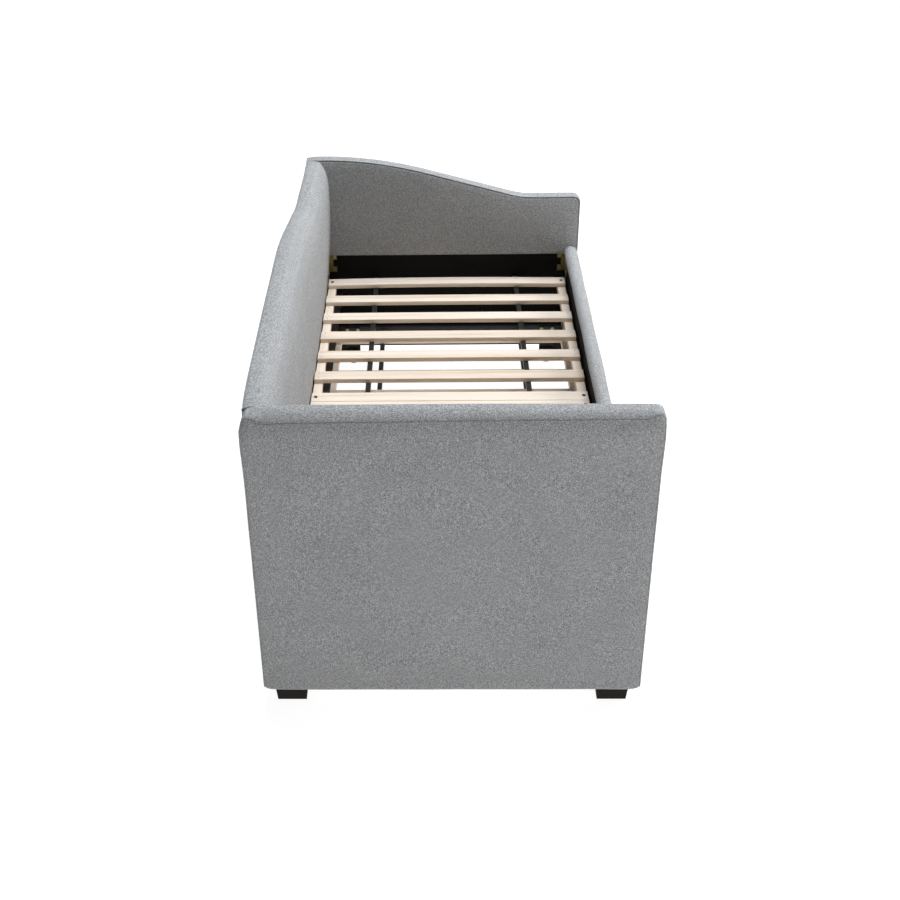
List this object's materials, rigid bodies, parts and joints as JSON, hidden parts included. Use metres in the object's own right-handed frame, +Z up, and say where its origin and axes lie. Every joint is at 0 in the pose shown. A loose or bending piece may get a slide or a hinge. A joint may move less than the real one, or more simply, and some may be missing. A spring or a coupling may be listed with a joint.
{
  "type": "trundle bed",
  "caption": "Upholstered daybed with sweeping back and foot panel, slatted deck, and a slatted trundle bed on casters that pulls out at the front.",
  "frame": {"origin": "on the floor, at the centre of the footprint", "axes": "+X runs from the tall head panel to the foot panel, +Y to the back panel, +Z up; the trundle pulls out along -Y"},
  "size_m": [2.074, 1.073, 0.986],
  "materials": {
    "fabric": "melange woven upholstery, matt",
    "black_lining": "thin black non-woven lining, matt",
    "plywood": "bare plywood",
    "pine": "bare planed pine",
    "black_wood": "black painted wood",
    "dark_wood": "dark stained wood, satin",
    "black_steel": "black powder coat, satin",
    "yellow_zinc": "yellow zinc plate",
    "zinc_bolts": "yellow zinc plate",
    "dark_screws": "black oxide",
    "black_plastic": "moulded nylon"
  },
  "bodies": {
    "daybed": {"head_cover": "fabric", "head_core": "plywood", "head_lining": "black_lining", "foot_cover": "fabric", "foot_core": "plywood", "foot_lining": "black_lining", "back_cover": "fabric", "back_core": "plywood", "back_lining": "black_lining", "front_cover": "fabric", "front_board": "plywood", "front_lining": "black_lining", "back_ledge": "black_steel", "front_ledge": "black_steel", "bracket_head_back": "yellow_zinc", "bracket_head_front": "yellow_zinc", "bracket_foot_back": "yellow_zinc", "bracket_foot_front": "yellow_zinc", "frame_bolts": "zinc_bolts", "leg_head_back": "dark_wood", "leg_head_front": "dark_wood", "leg_foot_back": "dark_wood", "leg_foot_front": "dark_wood", "deck_rail_head_back": "pine", "deck_rail_head_front": "pine", "deck_rail_foot_back": "pine", "deck_rail_foot_front": "pine", "deck_bolts": "dark_screws", "slat_nails": "dark_screws", "deck_bars": "black_steel", "slat_1": "pine", "slat_2": "pine", "slat_3": "pine", "slat_4": "pine", "slat_5": "pine", "slat_6": "pine", "slat_7": "pine", "slat_8": "pine", "slat_9": "pine", "slat_10": "pine", "slat_11": "pine", "slat_12": "pine", "slat_13": "pine", "slat_14": "pine"},
    "trundle": {"trundle_cover": "fabric", "trundle_board": "plywood", "trundle_end_head": "black_wood", "trundle_end_foot": "black_wood", "trundle_back_board": "black_wood", "trundle_ledges": "black_steel", "trundle_rails": "pine", "trundle_slats": "pine", "trundle_bars": "black_steel", "trundle_screws": "zinc_bolts", "caster_brackets": "black_steel", "caster_axles": "zinc_bolts"},
    "wheel_head_back": {"wheel_head_back": "black_plastic"},
    "wheel_head_front": {"wheel_head_front": "black_plastic"},
    "wheel_foot_back": {"wheel_foot_back": "black_plastic"},
    "wheel_foot_front": {"wheel_foot_front": "black_plastic"}
  },
  "joints": [
    {"name": "trundle_slide", "type": "slide", "parent": "daybed", "child": "trundle", "axis": [0, -1, 0], "range_m": [0, 0.99]},
    {"name": "wheel_head_back_spin", "type": "hinge", "parent": "trundle", "child": "wheel_head_back", "pos_m": [-0.94, 0.382, 0.025], "axis": [1, 0, 0], "continuous": true},
    {"name": "wheel_head_front_spin", "type": "hinge", "parent": "trundle", "child": "wheel_head_front", "pos_m": [-0.94, -0.424, 0.025], "axis": [1, 0, 0], "continuous": true},
    {"name": "wheel_foot_back_spin", "type": "hinge", "parent": "trundle", "child": "wheel_foot_back", "pos_m": [0.94, 0.382, 0.025], "axis": [1, 0, 0], "continuous": true},
    {"name": "wheel_foot_front_spin", "type": "hinge", "parent": "trundle", "child": "wheel_foot_front", "pos_m": [0.94, -0.424, 0.025], "axis": [1, 0, 0], "continuous": true}
  ],
  "couplings": [
    {"joint": "wheel_head_back_spin", "follows": "trundle_slide", "rad_per_m": 40},
    {"joint": "wheel_head_front_spin", "follows": "trundle_slide", "rad_per_m": 40},
    {"joint": "wheel_foot_back_spin", "follows": "trundle_slide", "rad_per_m": 40},
    {"joint": "wheel_foot_front_spin", "follows": "trundle_slide", "rad_per_m": 40}
  ]
}
